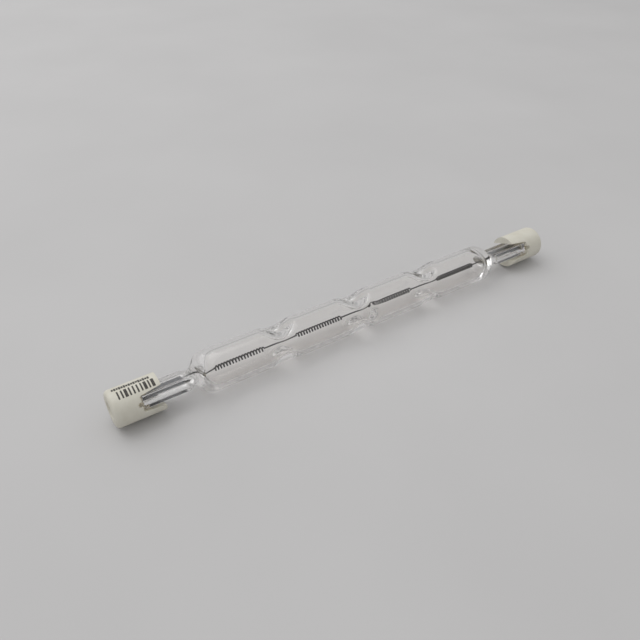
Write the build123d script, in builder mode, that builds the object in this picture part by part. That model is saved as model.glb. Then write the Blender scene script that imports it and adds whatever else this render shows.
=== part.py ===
"""Double-ended quartz lamp: a dented quartz tube with a coiled filament, and a ceramic cap at each end."""

import os
from math import cos, radians, sin

from build123d import *

# Lengths are in millimetres and angles in degrees. A depth is measured inwards from a cap's end face.

# Quartz tube, with one round chamber for each coil of the filament
coil_count = 4
coil_spacing = 20.4
tube_end_length = 9.8
tube_diameter = 9.2
tube_wall = 1.0
shoulder_radius = 2.2
tube_depth = 18.4

# Dents between the coils, pressed in from both sides until they hold the filament in the middle of the tube
dent_tool_radius = 4.0
dent_edge_radius = 1.5
dent_clearance = 0.25

# Exhaust tip, pulled off and melted shut
tip_turn = -9.0
tip_root_diameter = 3.8
tip_neck_diameter = 2.2
tip_height = 1.3
tip_bore_diameter = 1.4
tip_bore_end_diameter = 0.3

# Flat seals, turned about the lamp's axis from level
seal_turn = 24.0
seal_width = 7.0
seal_web_thickness = 2.2
seal_rib_width = 1.5
seal_rib_thickness = 2.8
seal_rib_radius = 0.28
seal_root_length = 1.4
seal_root_width = 7.3
seal_root_thickness = 3.5
seal_root_radius = 1.2
seal_blend_radius = 0.7

# Foil inside each seal, and the lead that comes out of it
foil_width = 2.6
foil_thickness = 0.05
foil_inner_margin = 3.0
foil_outer_margin = 1.2
foil_weld_share = 0.27
lead_diameter = 0.5
lead_socket_depth = 1.3
wire_clearance = 0.02

# Filament
wire_diameter = 0.28
coil_diameter = 1.15
coil_length = 12.1
coil_turns = 17
planes_per_turn = 9

# Ceramic caps, with two tongues beside each seal
cap_diameter = 8.0
cap_length = 10.3
cap_edge_radius = 0.9
recess_diameter = 3.5
recess_depth = 1.7
recess_lead_in = 0.3
slot_floor_depth = 5.7
slot_flare = 0.6
slot_corner_radius = 0.35
notch_width = 1.1
notch_depth = 0.8
lead_hole_diameter = 0.8

# Contact rivets
contact_diameter = 2.8
contact_thickness = 0.6
contact_edge_radius = 0.2
contact_clearance = 0.03
shank_diameter = 1.3
shank_cover = 0.6

# Cement between each seal and its cap
seal_clearance = 0.3
seal_end_gap = 0.4
cement_length = 1.4
cement_width = 5.6

# Worked out from the sizes above
tube_length = (coil_count - 1) * coil_spacing + 2 * tube_end_length
lamp_length = tube_length + 2 * tube_depth
tube_radius = tube_diameter / 2
gas_radius = tube_radius - tube_wall
dent_offset = wire_diameter / 2 + dent_clearance + tube_wall + dent_tool_radius
seal_end_depth = slot_floor_depth + seal_end_gap
foil_outer_depth = seal_end_depth + foil_outer_margin
foil_inner_depth = tube_depth - foil_inner_margin
foil_weld_length = foil_weld_share * (foil_inner_depth - foil_outer_depth)
foil_level = (wire_diameter + foil_thickness) / 2
lead_level = foil_level - (foil_thickness + lead_diameter) / 2
shank_end_depth = slot_floor_depth - notch_depth - shank_cover
lead_outer_depth = shank_end_depth - lead_socket_depth
lead_inner_depth = foil_outer_depth + foil_weld_length
tail_outer_depth = foil_inner_depth - foil_weld_length
coil_radius = (coil_diameter - wire_diameter) / 2
coil_pitch = (coil_length - wire_diameter) / coil_turns
coil_reach = coil_pitch * coil_turns / 2
coil_places = [coil_spacing * (i - (coil_count - 1) / 2) for i in range(coil_count)]
dent_places = [coil_spacing * (i - (coil_count - 2) / 2) for i in range(coil_count - 1)]

# The lamp lies on its tube, along X. Its flat seals are turned so that their front edge is raised.
seal_normal = Vector(0, sin(radians(seal_turn)), cos(radians(seal_turn)))
seal_plane = Plane(origin=(0, 0, tube_radius), x_dir=(1, 0, 0), z_dir=seal_normal)
side_plane = Plane(origin=seal_plane.origin, x_dir=(1, 0, 0), z_dir=-seal_plane.y_dir)
lamp_axis = Axis(seal_plane.origin, (1, 0, 0))
ends = {"left": -1, "right": 1}


def end_plane(way):
    """Plane along the axis: x is the depth from one end face, y is the height above the seal's middle."""
    origin = seal_plane.from_local_coords((way * lamp_length / 2, 0, 0))
    return Plane(origin=origin, x_dir=(-way, 0, 0), z_dir=seal_plane.y_dir * way)


def section_plane(way, depth):
    """Plane square to the axis at a depth, looking inwards."""
    origin = end_plane(way).from_local_coords((depth, 0, 0))
    return Plane(origin=origin, x_dir=seal_plane.y_dir * -way, z_dir=(-way, 0, 0))


def rod(way, diameter, start, stop, level=0.0):
    """Round bar along the lamp between two depths, at a height above the flat seal's middle."""
    with BuildPart() as bar:
        with BuildSketch(section_plane(way, start)):
            with Locations((0, level)):
                Circle(diameter / 2)
        extrude(amount=stop - start)
    return bar.part


def dent_balls(radius):
    """Balls that press the dents, one on each side of the tube at each place."""
    with BuildPart() as balls:
        middles = [(x, 0, side * dent_offset) for x in dent_places for side in (-1, 1)]
        with Locations(*[seal_plane.from_local_coords(middle) for middle in middles]):
            Sphere(radius)
    return balls.part


def round_ended_bar(length, radius, end_radius):
    """Solid of revolution about the lamp's axis, with rounded end edges."""
    with BuildPart() as bar:
        with BuildSketch(side_plane) as half:
            with Locations((-length / 2, 0)):
                Rectangle(length, radius, align=(Align.MIN, Align.MIN))
            fillet(half.vertices().group_by(Axis.Y)[-1], end_radius)
        revolve(axis=lamp_axis)
    return bar.part


def coil_plane(place, turn):
    """Plane across the wire of a coil, at a place along the lamp and after a number of turns."""
    angle = radians(360 * turn - 90)
    outward = seal_plane.y_dir * cos(angle) + seal_plane.z_dir * sin(angle)
    middle = seal_plane.origin + Vector(place, 0, 0) + outward * coil_radius
    return Plane(origin=middle, x_dir=(1, 0, 0), z_dir=outward.cross(Vector(1, 0, 0)))


def slot_outline(reach):
    """Slot of a cap up to a depth, seen from the side: it widens inwards and has a notch in its floor."""
    root = seal_rib_thickness / 2 + seal_clearance
    mouth = root + slot_flare * (reach - slot_floor_depth) / (cap_length - slot_floor_depth)
    with BuildSketch(mode=Mode.PRIVATE) as outline:
        with BuildLine():
            Polyline(
                (slot_floor_depth, -root),
                (reach, -mouth),
                (reach, mouth),
                (slot_floor_depth, root),
                close=True,
            )
        make_face()
        fillet(outline.vertices().group_by(Axis.X)[0], slot_corner_radius)
        with Locations((slot_floor_depth, 0)):
            SlotOverall(2 * notch_depth, notch_width)
    return outline.sketch


def save(block, name):
    """Label a finished piece and write it."""
    block.part.label = name
    export_step(block.part, f"parts/{name}.step")


os.makedirs("parts", exist_ok=True)

# Filament: coils on the lamp's axis, with straight wire between them and on into both seals
with BuildPart() as coil:
    for step in range(coil_turns * planes_per_turn + 1):
        turn = step / planes_per_turn
        with BuildSketch(coil_plane(coil_pitch * (turn - coil_turns / 2), turn)):
            Rectangle(wire_diameter, wire_diameter)
    loft(ruled=True)
    leg_starts = [seal_plane.origin + Vector(side * coil_reach, 0, 0) for side in (-1, 1)]
    with BuildSketch(*[Plane(origin=start, x_dir=(1, 0, 0), z_dir=-seal_normal) for start in leg_starts]):
        Circle(wire_diameter / 2)
    extrude(amount=coil_radius)

with BuildPart() as filament:
    tail_end = lamp_length / 2 - tail_outer_depth
    coil_ends = [place + side * coil_reach for place in coil_places for side in (-1, 1)]
    wire_ends = [-tail_end] + coil_ends + [tail_end]
    for start, stop in zip(wire_ends[0::2], wire_ends[1::2]):
        with BuildSketch(Plane(origin=seal_plane.origin + Vector(start, 0, 0), z_dir=(1, 0, 0))):
            Circle(wire_diameter / 2)
        extrude(amount=stop - start)
    with Locations(*[(place, 0, 0) for place in coil_places]):
        add(coil.part)
save(filament, "filament")

# Foil and outer lead of each seal: the foil is welded between the lead and the filament's tail
foils = {}
leads = {}
for end, way in ends.items():
    with BuildPart() as foil:
        with BuildSketch(end_plane(way)):
            with Locations(((foil_outer_depth + foil_inner_depth) / 2, foil_level)):
                Rectangle(foil_inner_depth - foil_outer_depth, foil_thickness)
        extrude(amount=foil_width / 2, both=True)
    foils[end] = foil
    save(foil, f"{end}_foil")

    with BuildPart() as lead:
        add(rod(way, lead_diameter, lead_outer_depth, lead_inner_depth, lead_level))
    leads[end] = lead
    save(lead, f"{end}_lead")

# Gas space: the inside of the tube, pinched at each dent, with the bore that the exhaust tip closes
tip_angle = radians(seal_turn + tip_turn)
tip_direction = Vector(0, -cos(tip_angle), sin(tip_angle))
tip_plane = Plane(origin=seal_plane.origin, x_dir=tip_direction, z_dir=(1, 0, 0))
tip_axis = Axis(seal_plane.origin, tip_direction)
with BuildPart() as gas_space:
    add(round_ended_bar(tube_length - 2 * tube_wall, gas_radius, shoulder_radius - tube_wall))
    add(dent_balls(dent_tool_radius + tube_wall), mode=Mode.SUBTRACT)
    fillet(gas_space.edges(Select.LAST), dent_edge_radius - tube_wall)
    with BuildSketch(tip_plane):
        with BuildLine():
            bore_start = gas_radius - tip_bore_diameter
            bore_end = tube_radius + tip_height / 2
            Polyline(
                (bore_start, 0),
                (bore_start, tip_bore_diameter / 2),
                (bore_end, tip_bore_end_diameter / 2),
                (bore_end, 0),
                close=True,
            )
        make_face()
    revolve(axis=tip_axis)

# Exhaust tip: a flared root on the tube, a short neck and a round nose
with BuildPart() as tip:
    with BuildSketch(tip_plane):
        with BuildLine():
            root = (tube_radius - tube_wall / 2, tip_root_diameter / 2)
            neck = (tube_radius + tip_height - tip_neck_diameter / 2, tip_neck_diameter / 2)
            nose = (tube_radius + tip_height, 0)
            Spline(root, neck, tangents=[(1, -1), (1, 0)])
            RadiusArc(neck, nose, tip_neck_diameter / 2)
            Polyline(nose, (root[0], 0), root)
        make_face()
    revolve(axis=tip_axis)

# Quartz envelope: one piece of glass, dented from both sides and pressed flat at both ends
with BuildPart() as quartz_envelope:
    add(round_ended_bar(tube_length, tube_radius, shoulder_radius))
    add(dent_balls(dent_tool_radius), mode=Mode.SUBTRACT)
    fillet(quartz_envelope.edges(Select.LAST), dent_edge_radius)
    for way in ends.values():
        with BuildSketch(section_plane(way, tube_depth - seal_root_length)):
            RectangleRounded(seal_root_width, seal_root_thickness, seal_root_radius)
        extrude(amount=seal_root_length + shoulder_radius)
        fillet(quartz_envelope.edges(Select.NEW), seal_blend_radius)
        with BuildSketch(section_plane(way, seal_end_depth)):
            Rectangle(seal_width, seal_web_thickness)
            with Locations(*[(side * (seal_width - seal_rib_width) / 2, 0) for side in (-1, 1)]):
                RectangleRounded(seal_rib_width, seal_rib_thickness, seal_rib_radius)
        extrude(amount=tube_depth - seal_end_depth)
    add(tip.part)
    undrilled_glass = quartz_envelope.part
    add(gas_space.part, mode=Mode.SUBTRACT)
    for end, way in ends.items():
        add(foils[end].part, mode=Mode.SUBTRACT)
        lead_bore = lead_diameter + 2 * wire_clearance
        add(rod(way, lead_bore, seal_end_depth, lead_inner_depth, lead_level), mode=Mode.SUBTRACT)
        tail_bore = wire_diameter + 2 * wire_clearance
        add(rod(way, tail_bore, tail_outer_depth, tube_depth + tube_wall), mode=Mode.SUBTRACT)
save(quartz_envelope, "quartz_envelope")

for end, way in ends.items():
    # Contact: a rivet with a round head in the cap's recess, and a shank bored for the lead
    with BuildPart() as contact:
        add(rod(way, contact_diameter, recess_depth, recess_depth + contact_thickness))
        outer_edge = contact.edges().group_by(Axis.X)[0 if way < 0 else -1]
        fillet(outer_edge, contact_edge_radius)
        add(rod(way, shank_diameter, recess_depth + contact_thickness, shank_end_depth))
        socket_diameter = lead_diameter + 2 * wire_clearance
        add(rod(way, socket_diameter, lead_outer_depth, shank_end_depth, lead_level), mode=Mode.SUBTRACT)
    save(contact, f"{end}_contact")

    # Cap: a round body with a stepped hole for the contact, and a slot that leaves two tongues
    with BuildPart() as cap:
        add(rod(way, cap_diameter, 0, cap_length))
        outer_edge = cap.edges().group_by(Axis.X)[0 if way < 0 else -1]
        fillet(outer_edge, cap_edge_radius)
        add(rod(way, recess_diameter, 0, recess_depth), mode=Mode.SUBTRACT)
        mouth_edge = cap.edges().group_by(Axis.X)[0 if way < 0 else -1].sort_by(SortBy.RADIUS)[0]
        chamfer(mouth_edge, recess_lead_in)
        head_seat = contact_diameter + 2 * contact_clearance
        add(rod(way, head_seat, recess_depth, recess_depth + contact_thickness), mode=Mode.SUBTRACT)
        shank_hole = shank_diameter + 2 * contact_clearance
        add(rod(way, shank_hole, recess_depth, shank_end_depth), mode=Mode.SUBTRACT)
        add(rod(way, lead_hole_diameter, shank_end_depth, slot_floor_depth), mode=Mode.SUBTRACT)
        with BuildSketch(end_plane(way)):
            add(slot_outline(cap_length))
        extrude(amount=cap_diameter, both=True, mode=Mode.SUBTRACT)
    save(cap, f"{end}_cap")

    # Cement: fills the floor of the slot around the end of the seal
    with BuildPart() as cement:
        with BuildSketch(end_plane(way)):
            add(slot_outline(slot_floor_depth + cement_length))
        extrude(amount=cement_width / 2, both=True)
        add(undrilled_glass, mode=Mode.SUBTRACT)
        add(leads[end].part, mode=Mode.SUBTRACT)
    save(cement, f"{end}_cement")
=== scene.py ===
import math

import bmesh
import bpy
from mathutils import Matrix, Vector


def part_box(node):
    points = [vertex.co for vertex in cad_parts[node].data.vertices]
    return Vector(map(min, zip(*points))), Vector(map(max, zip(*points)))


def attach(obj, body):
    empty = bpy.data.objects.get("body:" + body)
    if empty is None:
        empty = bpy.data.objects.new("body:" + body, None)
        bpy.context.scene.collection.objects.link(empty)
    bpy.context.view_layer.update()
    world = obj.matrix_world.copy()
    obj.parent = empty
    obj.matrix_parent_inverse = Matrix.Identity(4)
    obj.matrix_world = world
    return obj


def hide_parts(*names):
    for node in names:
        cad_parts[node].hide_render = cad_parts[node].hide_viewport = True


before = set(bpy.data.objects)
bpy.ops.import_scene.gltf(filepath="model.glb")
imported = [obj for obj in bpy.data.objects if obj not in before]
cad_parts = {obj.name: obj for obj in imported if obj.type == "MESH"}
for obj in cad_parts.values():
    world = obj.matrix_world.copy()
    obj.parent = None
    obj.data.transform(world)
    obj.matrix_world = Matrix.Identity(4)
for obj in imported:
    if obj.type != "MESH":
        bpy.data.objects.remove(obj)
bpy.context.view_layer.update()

# Lengths are in millimetres, and MM turns them to metres. Glass and wire are made level, along X at the origin,
# and are then turned and raised to where the frame has them.
MM = 0.001
# Points this near to a place count as at it.
NEAR = 0.05
AXIS_HEIGHT = 4.6
SEAL_TURN = math.radians(24)
LAMP_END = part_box("right_cap")[1].x / MM
SEAL_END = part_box("quartz_envelope")[1].x / MM

# Quartz tube
TUBE_RADIUS = 4.6
GAS_RADIUS = 3.6
CHAMBER = 20.4
TUBE_END = 40.4
RING_SIDES = 24
RING_SPACING = 1.02
SHOULDER_RADIUS = 2.2
# How far short of the tube's end its even rings stop, outside and inside
OUTER_STOP = 3.0
INNER_STOP = 4.2
# A smoothed ring of control points shrinks by this share.
ROUNDING = (4 + 2 * math.cos(math.tau / RING_SIDES)) / 6

# Dents: how deep the middle control point is pressed, and how far round it the surface follows. Smoothing makes
# them shallower. The photo shows the lower ones as a gentle wave.
OUTER_DENTS = {"upper_depth": 2.7, "lower_depth": 1.6, "reach": 3.8}
INNER_DENTS = {"upper_depth": 3.2, "lower_depth": 2.6, "reach": 4.2}

# Exhaust tip: its place along the lamp, its turn round the tube, and the patch of faces that it is drawn from, as its
# reach along the lamp and its range of turns. Each step is how far the patch moves out and what share it keeps.
TIP_PLACE = 2 * RING_SPACING
TIP_TURN = math.radians(187.5)
TIP_PATCH = (2.2, (158, 217))
TIP_STEPS = [(0.2, 0.82), (0.25, 0.82), (0.4, 1.15), (0.35, 0.85), (0.2, 0.45)]
BORE_PATCH = (1.2, (173, 202))
BORE_STEPS = [(0.5, 0.85), (0.5, 0.8), (0.45, 0.6)]

# Flat seals
SEAL_WIDTH = 7.03
RIB_THICKNESS = 2.83
WEB_THICKNESS = 2.2
WEB_HALF_WIDTH = 2.0
# Length of the pressed step at the seal's start, and of the rings that hold its section at both ends
SEAL_STEP = 0.5
SEAL_START = 1.0
SEAL_STOP = 0.4
# Shares of the seal's width and thickness that its flat end keeps inside its soft edge
SEAL_FACE = (0.86, 0.7)
# Where the tube's core leaves the shoulder, as half width and half height
SHOULDER_CORE = (3.9, 2.1)
# Sections between the shoulder and the seal, as distance past the tube, half width and half height
SEAL_ROOT = [(0.8, 3.6, 1.75), (1.7, SEAL_WIDTH / 2, 1.5)]
# The gas space's end, as distance short of the tube's end, and shares of its width and height
GAS_WEDGE = [(3.0, 0.98, 0.93), (2.1, 0.9, 0.74), (1.4, 0.76, 0.44), (1.0, 0.5, 0.12)]

# Filament
COIL_LENGTH = 12.1
COIL_TURNS = 17
COIL_RADIUS = 0.435
COIL_RUN_OUT = 0.45
STRAND_DIAMETER = 0.38
FINE_WIRE = 0.13
FINE_PITCH = 0.135
FINE_STEPS = 8
FOIL_WELD = 45.5

# Print on the left cap: depths from the end face, turns in degrees above the front
CAP_RADIUS = 4.0
INK_THICKNESS = 0.015
FINE_STROKES = 16
FINE_ROW_START = 1.5
FINE_ROW_LENGTH = 7.2
FINE_STROKE_WIDTH = 0.38
FINE_ROW_TURN = 102
FINE_ROW_SLANT = 3
BAR_WIDTHS = (0.32, 0.32, 0.6, 0.32, 0.32, 0.32, 0.32, 0.6, 0.32, 0.6)
BAR_ROW_START = 2.1
BAR_SPACING = 0.78
BAR_TURN = 75
BAR_HEIGHT = 2.0


def colour(hex_code):
    """An sRGB hex colour as linear RGBA."""
    channels = [int(hex_code[i:i + 2], 16) / 255 for i in (1, 3, 5)]
    linear = [c / 12.92 if c <= 0.04045 else ((c + 0.055) / 1.055) ** 2.4 for c in channels]
    return (*linear, 1.0)


# Modelling


def pick(test):
    """In edit mode: selects each vertex whose place in mm passes a test, with the edges and faces between them."""
    bpy.ops.mesh.select_mode(type="VERT")
    bpy.ops.mesh.select_all(action="DESELECT")
    mesh = bmesh.from_edit_mesh(bpy.context.edit_object.data)
    for vertex in mesh.verts:
        vertex.select_set(bool(test(*(vertex.co / MM))))
    mesh.select_flush(True)
    bmesh.update_edit_mesh(bpy.context.edit_object.data)


def resize(width=1.0, height=1.0, about=(0, 0, 0)):
    """In edit mode: scales what is selected across the lamp, about a place in mm."""
    bpy.ops.transform.resize(value=(1, width, height), center_override=[c * MM for c in about])


def start_ring(name, radius):
    """A ring of vertices round the middle of the lamp, in edit mode."""
    bpy.ops.object.select_all(action="DESELECT")
    bpy.ops.mesh.primitive_circle_add(vertices=RING_SIDES, radius=radius * MM, rotation=(0, math.pi / 2, 0))
    bpy.ops.object.transform_apply(location=True, rotation=True, scale=True)
    piece = bpy.context.object
    piece.name = name
    bpy.ops.object.mode_set(mode="EDIT")
    bpy.ops.mesh.select_all(action="SELECT")
    return piece


def draw_rings(sections):
    """In edit mode: extrudes the selected ring along the lamp. A section is its place, half width and half height."""
    for last, section in zip(sections, sections[1:]):
        bpy.ops.mesh.extrude_region_move(TRANSFORM_OT_translate={"value": ((section[0] - last[0]) * MM, 0, 0)})
        resize(section[1] / last[1], section[2] / last[2])


def tube_sections(radius, stop):
    """Even sections of a round tube, from the middle of the lamp to a place along it."""
    return [(RING_SPACING * i, radius, radius) for i in range(int(stop / RING_SPACING) + 1)]


def press_dents(upper_depth, lower_depth, reach):
    """In edit mode: presses round hollows into both sides of the tube, between its four chambers."""
    for place in (-CHAMBER, 0, CHAMBER):
        for side, depth in ((1, upper_depth), (-1, lower_depth)):
            pick(lambda x, y, z: abs(x - place) < NEAR and abs(y) < NEAR and z * side > 0)
            bpy.ops.transform.translate(
                value=(0, 0, -side * depth * MM), use_proportional_edit=True,
                proportional_edit_falloff="SMOOTH", proportional_size=reach * MM)


def shoulder_sections(radius):
    """Sections of a shoulder: a quarter circle from the tube to its end wall, which reaches in to the seal's core."""
    sections = []
    for i in range(4):
        turn = math.pi / 2 * i / 3
        size = radius - SHOULDER_RADIUS * (1 - math.cos(turn))
        place = TUBE_END - SHOULDER_RADIUS * (1 - math.sin(turn))
        sections.append((place, max(size, SHOULDER_CORE[0]), max(size, SHOULDER_CORE[1])))
    return sections


def press_seal(x):
    """In edit mode: presses the ring at a place to the section of a flat seal, with a rib along each edge."""
    half_width = SEAL_WIDTH / 2
    half_rib = RIB_THICKNESS / 2
    # The ring's upper and lower rows become flat, then its two edges.
    for side in (-1, 1):
        pick(lambda px, py, pz: abs(px - x) < NEAR and pz * side > half_rib * 0.4)
        resize(height=0, about=(x, 0, side * half_rib))
        pick(lambda px, py, pz: abs(px - x) < NEAR and py * side > half_width * 0.8)
        resize(width=0, about=(x, side * half_width, 0))
    # The edges' inner points move out towards the ribs' corners, and the web between the ribs is pressed in.
    pick(lambda px, py, pz: abs(px - x) < NEAR and 0.1 < abs(pz) < half_rib * 0.5)
    resize(height=2.1)
    for side in (-1, 1):
        pick(lambda px, py, pz: abs(px - x) < NEAR and abs(py) < WEB_HALF_WIDTH and pz * side > 0)
        resize(height=0, about=(x, 0, side * WEB_THICKNESS / 2))
    pick(lambda px, py, pz: abs(px - x) < NEAR)


def mirror_half(piece):
    """Leaves edit mode, and mirrors a half across the middle of the lamp."""
    bpy.ops.object.mode_set(mode="OBJECT")
    mirror = piece.modifiers.new("other_half", "MIRROR")
    mirror.merge_threshold = 0.01 * MM
    bpy.ops.object.modifier_apply(modifier=mirror.name)
    bpy.ops.object.mode_set(mode="EDIT")
    bpy.ops.mesh.select_all(action="SELECT")
    bpy.ops.mesh.normals_make_consistent(inside=False)


def draw_tip(patch, steps):
    """In edit mode: rounds a patch on the front side, just past the middle, and draws it out in steps."""
    direction = Vector((0, math.cos(TIP_TURN), math.sin(TIP_TURN)))
    reach, (low, high) = patch

    def on_patch(x, y, z):
        return abs(x - TIP_PLACE) < reach and low < math.degrees(math.atan2(z, y)) % 360 < high

    pick(on_patch)
    bpy.ops.mesh.select_mode(type="FACE")
    bpy.ops.mesh.region_to_loop()
    bpy.ops.transform.tosphere(value=1.0)
    bpy.ops.mesh.loop_to_region()
    for height, size in steps:
        bpy.ops.mesh.extrude_region_move(TRANSFORM_OT_translate={"value": direction * height * MM})
        bpy.ops.transform.resize(value=(size, size, size))


def smooth_and_lay(piece, levels=2):
    """Subdivides a level piece, turns it to how the lamp lies and puts its place in its mesh."""
    bpy.ops.object.mode_set(mode="OBJECT")
    bpy.ops.object.select_all(action="DESELECT")
    bpy.context.view_layer.objects.active = piece
    piece.select_set(True)
    if levels:
        smooth = piece.modifiers.new("smooth", "SUBSURF")
        smooth.levels = levels
        smooth.render_levels = levels
        bpy.ops.object.modifier_apply(modifier=smooth.name)
    piece.rotation_euler = (-SEAL_TURN, 0, 0)
    piece.location = (0, 0, AXIS_HEIGHT * MM)
    bpy.ops.object.transform_apply(location=True, rotation=True, scale=True)
    bpy.ops.object.shade_smooth()


def finish_piece(piece, material, slot, *nodes):
    """Gives a piece its finish and its place in the frame."""
    piece.data.materials.clear()
    piece.data.materials.append(material)
    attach(piece, "root")
    if nodes:
        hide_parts(*nodes)


def make_outer_glass():
    """The outside of the quartz: dented tube, shoulders, flat seals and exhaust tip."""
    radius = TUBE_RADIUS / ROUNDING
    glass = start_ring("quartz_tube", radius)
    sections = tube_sections(radius, TUBE_END - OUTER_STOP) + shoulder_sections(radius)
    sections += [(TUBE_END + past, width, height) for past, width, height in SEAL_ROOT]
    draw_rings(sections)
    x = sections[-1][0] + SEAL_STEP
    draw_rings([sections[-1], (x, *sections[-1][1:])])
    press_seal(x)
    for step in (SEAL_START, SEAL_END - x - SEAL_START - SEAL_STOP, SEAL_STOP):
        bpy.ops.mesh.extrude_region_move(TRANSFORM_OT_translate={"value": (step * MM, 0, 0)})
    bpy.ops.mesh.extrude_region_move()
    resize(*SEAL_FACE)
    bpy.ops.mesh.edge_face_add()
    mirror_half(glass)
    press_dents(**OUTER_DENTS)
    draw_tip(TIP_PATCH, TIP_STEPS)
    smooth_and_lay(glass)
    return glass


def make_gas_space():
    """The inside of the quartz, with its faces turned to the gas. Pressing the seals leaves its ends as wedges."""
    radius = GAS_RADIUS / ROUNDING
    space = start_ring("gas_space", radius)
    sections = tube_sections(radius, TUBE_END - INNER_STOP)
    sections += [(TUBE_END - short, radius * width, radius * height) for short, width, height in GAS_WEDGE]
    draw_rings(sections)
    bpy.ops.mesh.edge_face_add()
    mirror_half(space)
    press_dents(**INNER_DENTS)
    draw_tip(BORE_PATCH, BORE_STEPS)
    bpy.ops.mesh.select_all(action="SELECT")
    bpy.ops.mesh.flip_normals()
    smooth_and_lay(space)
    return space


def make_glass(material):
    """The quartz envelope: outside and inside in one piece."""
    inside = make_gas_space()
    outside = make_outer_glass()
    inside.select_set(True)
    bpy.context.view_layer.objects.active = outside
    bpy.ops.object.join()
    finish_piece(outside, material, "quartz", "quartz_envelope")


def wind_strand():
    """Centre line of the fine wire: wound into a strand, which is wound again into the coils."""
    step = FINE_PITCH / FINE_STEPS
    first_coil = CHAMBER * 1.5
    turns_per_mm = COIL_TURNS / COIL_LENGTH
    winding = (STRAND_DIAMETER - FINE_WIRE) / 2
    points = []
    x = -FOIL_WELD
    angle = 0.0
    length = 0.0
    while x < FOIL_WELD:
        # How far the point is inside a coil, and the share of the coil's radius that it has there
        place = (x + first_coil + CHAMBER / 2) % CHAMBER - CHAMBER / 2
        inside = COIL_LENGTH / 2 - abs(place) if abs(x) < first_coil + CHAMBER / 2 else -1.0
        share = min(1.0, max(0.0, inside / COIL_RUN_OUT + 0.5))
        share = share * share * (3 - 2 * share)
        radius = COIL_RADIUS * share
        rate = math.tau * turns_per_mm if share > 0 else 0.0
        drawn = math.hypot(1.0, radius * rate)
        x += step / drawn
        angle += rate * step / drawn
        length += step
        outward = Vector((0, math.cos(angle), math.sin(angle)))
        along = Vector((
            1 / drawn, -math.sin(angle) * radius * rate / drawn, math.cos(angle) * radius * rate / drawn))
        phase = math.tau * length / FINE_PITCH
        around = (outward * math.cos(phase) + along.cross(outward) * math.sin(phase)) * winding
        points.append((Vector((x, 0, 0)) + outward * radius + around) * MM)
    return points


def make_filament(material):
    """The filament, as a tube of fine wire along its centre line."""
    bpy.ops.object.select_all(action="DESELECT")
    points = wind_strand()
    line = bpy.data.curves.new("tungsten_filament", "CURVE")
    line.dimensions = "3D"
    line.bevel_depth = FINE_WIRE / 2 * MM
    line.bevel_resolution = 0
    line.use_fill_caps = True
    spline = line.splines.new("POLY")
    spline.points.add(len(points) - 1)
    for point, place in zip(spline.points, points):
        point.co = (*place, 1)
    filament = bpy.data.objects.new("tungsten_filament", line)
    bpy.context.scene.collection.objects.link(filament)
    bpy.context.view_layer.objects.active = filament
    filament.select_set(True)
    bpy.ops.object.convert(target="MESH")
    smooth_and_lay(filament, levels=0)
    finish_piece(filament, material, "tungsten", "filament")


def add_stroke(depth, width, turn, height):
    """One stroke of ink bent round the left cap. Its depth from the end face and its sizes are in mm."""
    radius = CAP_RADIUS + INK_THICKNESS
    bpy.ops.mesh.primitive_cylinder_add(
        vertices=240, radius=radius * MM, depth=width * MM, end_fill_type="NOTHING",
        location=((depth - LAMP_END) * MM, 0, AXIS_HEIGHT * MM), rotation=(0, math.pi / 2, 0))
    bpy.ops.object.transform_apply(location=True, rotation=True, scale=True)
    span = height / radius / 2
    bpy.ops.object.mode_set(mode="EDIT")
    pick(lambda x, y, z: abs(math.atan2(z - AXIS_HEIGHT, -y) - math.radians(turn)) > span)
    bpy.ops.mesh.delete(type="VERT")
    bpy.ops.object.mode_set(mode="OBJECT")
    return bpy.context.object


def make_print(material):
    """Two rows of plain strokes on the left cap: a fine row above, and bold bars below."""
    bpy.ops.object.select_all(action="DESELECT")
    strokes = []
    for i in range(FINE_STROKES):
        share = i / (FINE_STROKES - 1)
        depth = FINE_ROW_START + FINE_ROW_LENGTH * share
        turn = FINE_ROW_TURN - FINE_ROW_SLANT * share
        strokes.append(add_stroke(depth, FINE_STROKE_WIDTH, turn, 0.75 + 0.25 * (i % 2)))
    for i, width in enumerate(BAR_WIDTHS):
        strokes.append(add_stroke(BAR_ROW_START + BAR_SPACING * i, width, BAR_TURN, BAR_HEIGHT))
    for stroke in strokes:
        stroke.select_set(True)
    bpy.context.view_layer.objects.active = strokes[0]
    bpy.ops.object.join()
    ink = bpy.context.object
    ink.name = "ink_strokes"
    layer = ink.modifiers.new("layer", "SOLIDIFY")
    layer.thickness = INK_THICKNESS * MM
    bpy.ops.object.modifier_apply(modifier=layer.name)
    finish_piece(ink, material, "cap_ceramic")


# Materials


def add_node(material, kind, settings=None, links=None):
    """Adds one node. Settings name its properties or inputs, and links name what feeds its inputs."""
    tree = material.node_tree
    node = tree.nodes.new(kind)
    for name, value in (settings or {}).items():
        if name in node.inputs:
            node.inputs[name].default_value = value
        else:
            setattr(node, name, value)
    for name, source in (links or {}).items():
        tree.links.new(source, node.inputs[name])
    return node


def new_material(name, **shader_inputs):
    """A material with its Principled shader set, ready for patterns."""
    material = bpy.data.materials.new(name)
    material.use_nodes = True
    shader = material.node_tree.nodes["Principled BSDF"]
    for socket, value in shader_inputs.items():
        shader.inputs[socket.replace("_", " ")].default_value = value
    return material, shader


def object_pattern(material, stretch=(1, 1, 1)):
    """The piece's own coordinates, stretched so that a pattern is finer across than along."""
    place = add_node(material, "ShaderNodeTexCoord")
    return add_node(material, "ShaderNodeMapping", {"Scale": stretch}, {"Vector": place.outputs["Object"]})


def per_mm(size):
    """The scale of a pattern whose features are a size in mm."""
    return 1 / (size * MM)


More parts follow.
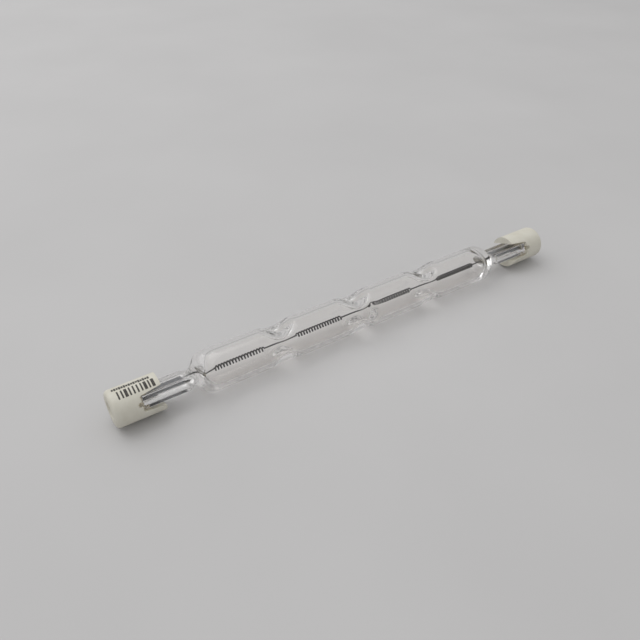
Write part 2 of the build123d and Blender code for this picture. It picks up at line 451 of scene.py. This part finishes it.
def ramp(material, source, low, high, start=0.3, stop=0.7):
    """Blends two colours by a pattern."""
    node = add_node(material, "ShaderNodeValToRGB", None, {"Fac": source})
    node.color_ramp.elements[0].position = start
    node.color_ramp.elements[0].color = low
    node.color_ramp.elements[1].position = stop
    node.color_ramp.elements[1].color = high
    return node


def fused_quartz():
    """Fused quartz: water clear, with faint draw lines along the tube, and dulled where jaws pressed the seals."""
    material, shader = new_material(
        "fused_quartz", Base_Color=colour("#FEFDFC"), IOR=1.458, Transmission_Weight=1.0)
    place = object_pattern(material, (0.06, 1, 1))
    lines = add_node(
        material, "ShaderNodeTexNoise", {"Scale": per_mm(1.2), "Detail": 2.0}, {"Vector": place.outputs["Vector"]})
    bump = add_node(
        material, "ShaderNodeBump", {"Strength": 0.5, "Distance": 0.01 * MM}, {"Height": lines.outputs["Fac"]})
    haze = add_node(
        material, "ShaderNodeMapRange", {"From Min": 0.45, "From Max": 0.8, "To Min": 0.0, "To Max": 0.03},
        {"Value": lines.outputs["Fac"]})
    # Distance from the lamp's middle, for the seals
    spot = add_node(material, "ShaderNodeTexCoord")
    along = add_node(material, "ShaderNodeSeparateXYZ", None, {"Vector": spot.outputs["Object"]})
    outwards = add_node(material, "ShaderNodeMath", {"operation": "ABSOLUTE"}, {0: along.outputs["X"]})
    pressed = add_node(
        material, "ShaderNodeMapRange",
        {"From Min": TUBE_END * MM, "From Max": (TUBE_END + 2.5) * MM, "To Min": 0.0, "To Max": 0.24},
        {"Value": outwards.outputs["Value"]})
    dulled = add_node(
        material, "ShaderNodeMath", {"operation": "ADD"},
        {0: haze.outputs["Result"], 1: pressed.outputs["Result"]})
    material.node_tree.links.new(bump.outputs["Normal"], shader.inputs["Normal"])
    material.node_tree.links.new(dulled.outputs["Value"], shader.inputs["Roughness"])
    return material


def steatite():
    """Steatite, pressed and fired without a glaze: cream and matt, with a fine grain."""
    material, shader = new_material("steatite", IOR=1.6)
    place = object_pattern(material)
    clouds = add_node(
        material, "ShaderNodeTexNoise", {"Scale": per_mm(2.5), "Detail": 4.0}, {"Vector": place.outputs["Vector"]})
    grain = add_node(
        material, "ShaderNodeTexNoise", {"Scale": per_mm(0.18), "Detail": 3.0}, {"Vector": place.outputs["Vector"]})
    tone = ramp(material, clouds.outputs["Fac"], colour("#D0CCBE"), colour("#D9D6CA"))
    wear = add_node(
        material, "ShaderNodeMapRange", {"To Min": 0.48, "To Max": 0.66}, {"Value": grain.outputs["Fac"]})
    bump = add_node(
        material, "ShaderNodeBump", {"Strength": 0.6, "Distance": 0.02 * MM}, {"Height": grain.outputs["Fac"]})
    material.node_tree.links.new(tone.outputs["Color"], shader.inputs["Base Color"])
    material.node_tree.links.new(wear.outputs["Result"], shader.inputs["Roughness"])
    material.node_tree.links.new(bump.outputs["Normal"], shader.inputs["Normal"])
    return material


def stamped_ink():
    """Black ceramic ink, stamped and fired on: near black, thinner and greyer in patches."""
    material, shader = new_material("stamped_ink", Roughness=0.6)
    place = object_pattern(material)
    patches = add_node(
        material, "ShaderNodeTexNoise", {"Scale": per_mm(0.5), "Detail": 4.0}, {"Vector": place.outputs["Vector"]})
    tone = ramp(material, patches.outputs["Fac"], colour("#33302D"), colour("#5A554F"), 0.4, 0.75)
    material.node_tree.links.new(tone.outputs["Color"], shader.inputs["Base Color"])
    return material


def drawn_tungsten():
    """Tungsten, drawn and wound: dark grey, with streaks along the lamp from the drawing."""
    material, shader = new_material("drawn_tungsten", Metallic=1.0)
    place = object_pattern(material)
    streaks = add_node(
        material, "ShaderNodeTexNoise", {"Scale": per_mm(0.2), "Detail": 3.0}, {"Vector": place.outputs["Vector"]})
    tone = ramp(material, streaks.outputs["Fac"], colour("#2C2A29"), colour("#474543"))
    wear = add_node(
        material, "ShaderNodeMapRange", {"To Min": 0.35, "To Max": 0.55}, {"Value": streaks.outputs["Fac"]})
    material.node_tree.links.new(tone.outputs["Color"], shader.inputs["Base Color"])
    material.node_tree.links.new(wear.outputs["Result"], shader.inputs["Roughness"])
    return material


def rolled_molybdenum():
    """Molybdenum, rolled into foil and drawn into wire: dull grey, with rolling lines along it."""
    material, shader = new_material("rolled_molybdenum", Metallic=1.0)
    place = object_pattern(material, (0.05, 1, 1))
    lines = add_node(
        material, "ShaderNodeTexNoise", {"Scale": per_mm(0.25), "Detail": 4.0}, {"Vector": place.outputs["Vector"]})
    tone = ramp(material, lines.outputs["Fac"], colour("#6C6D72"), colour("#8E8F93"))
    wear = add_node(
        material, "ShaderNodeMapRange", {"To Min": 0.3, "To Max": 0.5}, {"Value": lines.outputs["Fac"]})
    bump = add_node(
        material, "ShaderNodeBump", {"Strength": 0.4, "Distance": 0.01 * MM}, {"Height": lines.outputs["Fac"]})
    material.node_tree.links.new(tone.outputs["Color"], shader.inputs["Base Color"])
    material.node_tree.links.new(wear.outputs["Result"], shader.inputs["Roughness"])
    material.node_tree.links.new(bump.outputs["Normal"], shader.inputs["Normal"])
    return material


def nickel_plating():
    """Nickel plating on a turned rivet: warm and satin, with turning rings round its middle."""
    material, shader = new_material("nickel_plating", Metallic=1.0)
    place = add_node(material, "ShaderNodeTexCoord")
    centred = add_node(
        material, "ShaderNodeMapping", {"Location": (0, 0, -AXIS_HEIGHT * MM)}, {"Vector": place.outputs["Object"]})
    rings = add_node(
        material, "ShaderNodeTexWave",
        {"wave_type": "RINGS", "rings_direction": "X", "Scale": per_mm(0.12) / 20, "Distortion": 0.4, "Detail": 3.0},
        {"Vector": centred.outputs["Vector"]})
    tone = ramp(material, rings.outputs["Fac"], colour("#B9B2A6"), colour("#D6D0C4"))
    bump = add_node(
        material, "ShaderNodeBump", {"Strength": 0.5, "Distance": 0.01 * MM}, {"Height": rings.outputs["Fac"]})
    wear = add_node(
        material, "ShaderNodeMapRange", {"To Min": 0.24, "To Max": 0.4}, {"Value": rings.outputs["Fac"]})
    material.node_tree.links.new(tone.outputs["Color"], shader.inputs["Base Color"])
    material.node_tree.links.new(wear.outputs["Result"], shader.inputs["Roughness"])
    material.node_tree.links.new(bump.outputs["Normal"], shader.inputs["Normal"])
    return material


def baked_cement():
    """Mineral cement, filled in wet and baked: pale and sandy, with dark grains and small pits."""
    material, shader = new_material("baked_cement", Roughness=0.9)
    place = object_pattern(material)
    sand = add_node(
        material, "ShaderNodeTexNoise", {"Scale": per_mm(0.3), "Detail": 6.0, "Roughness": 0.7},
        {"Vector": place.outputs["Vector"]})
    tone = ramp(material, sand.outputs["Fac"], colour("#B5AB97"), colour("#D6CFBE"), 0.35, 0.6)
    bump = add_node(
        material, "ShaderNodeBump", {"Strength": 0.9, "Distance": 0.06 * MM}, {"Height": sand.outputs["Fac"]})
    material.node_tree.links.new(tone.outputs["Color"], shader.inputs["Base Color"])
    material.node_tree.links.new(bump.outputs["Normal"], shader.inputs["Normal"])
    return material


def pale_board():
    """Smooth pale card: matt, with a barely uneven tone."""
    material, shader = new_material("pale_board", Roughness=0.75)
    place = object_pattern(material)
    clouds = add_node(
        material, "ShaderNodeTexNoise", {"Scale": per_mm(60), "Detail": 3.0}, {"Vector": place.outputs["Vector"]})
    tone = ramp(material, clouds.outputs["Fac"], colour("#C2C1C1"), colour("#C6C5C5"))
    material.node_tree.links.new(tone.outputs["Color"], shader.inputs["Base Color"])
    return material


def dress(names, material):
    """Gives CAD nodes a material."""
    for name in names:
        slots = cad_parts[name].data.materials
        slots.clear()
        slots.append(material)


# Studio


def add_floor():
    """A plain pale floor that runs out of view."""
    bpy.ops.object.select_all(action="DESELECT")
    bpy.ops.mesh.primitive_plane_add(size=4.0, location=(0, 0, 0))
    floor = bpy.context.object
    floor.name = "floor"
    floor.data.materials.append(pale_board())


def add_lamp(name, place, target, size, power):
    """A soft square lamp that points at a place."""
    light = bpy.data.lights.new(name, "AREA")
    light.size = size
    light.energy = power
    lamp = bpy.data.objects.new(name, light)
    bpy.context.scene.collection.objects.link(lamp)
    lamp.location = place
    lamp.rotation_euler = (Vector(target) - Vector(place)).to_track_quat("-Z", "Y").to_euler()


def add_world(horizon, overhead):
    """Soft light from all round, dimmer towards the horizon, which glass and metal mirror."""
    world = bpy.data.worlds.new("studio")
    world.use_nodes = True
    background = world.node_tree.nodes["Background"]
    background.inputs["Color"].default_value = (1.0, 1.0, 1.0, 1.0)
    place = add_node(world, "ShaderNodeTexCoord")
    direction = add_node(world, "ShaderNodeSeparateXYZ", None, {"Vector": place.outputs["Generated"]})
    level = add_node(
        world, "ShaderNodeMapRange", {"From Min": 0.1, "From Max": 0.6, "To Min": horizon, "To Max": overhead},
        {"Value": direction.outputs["Z"]})
    world.node_tree.links.new(level.outputs["Result"], background.inputs["Strength"])
    bpy.context.scene.world = world


def add_camera():
    """The photograph's viewpoint: from the left end's side, looking down across the lamp."""
    place = Vector((-71.29, -95.78, 96.34)) * MM
    aim = Vector((-5.75, 6.34, 0.35)) * MM
    data = bpy.data.cameras.new("camera")
    data.lens = 36
    data.sensor_width = 36
    data.clip_start = 0.005
    camera = bpy.data.objects.new("camera", data)
    bpy.context.scene.collection.objects.link(camera)
    camera.location = place
    camera.rotation_euler = (aim - place).to_track_quat("-Z", "Y").to_euler()
    bpy.context.scene.camera = camera


make_glass(fused_quartz())
make_filament(drawn_tungsten())
make_print(stamped_ink())
dress(["left_cap", "right_cap"], steatite())
dress(["left_contact", "right_contact"], nickel_plating())
dress(["left_cement", "right_cement"], baked_cement())
dress(["left_foil", "right_foil", "left_lead", "right_lead"], rolled_molybdenum())

add_floor()
add_lamp("key", (-0.22, 0.4, 0.75), (0, 0, 0), 0.9, 3.3)
add_world(0.4, 0.655)
add_camera()
bpy.context.scene.view_settings.view_transform = "Standard"
# Clear glass lets light through unblurred, and carries it far along its wall.
bpy.context.scene.cycles.blur_glossy = 0.0
for limit in ("max_bounces", "glossy_bounces", "transmission_bounces"):
    setattr(bpy.context.scene.cycles, limit, 40)
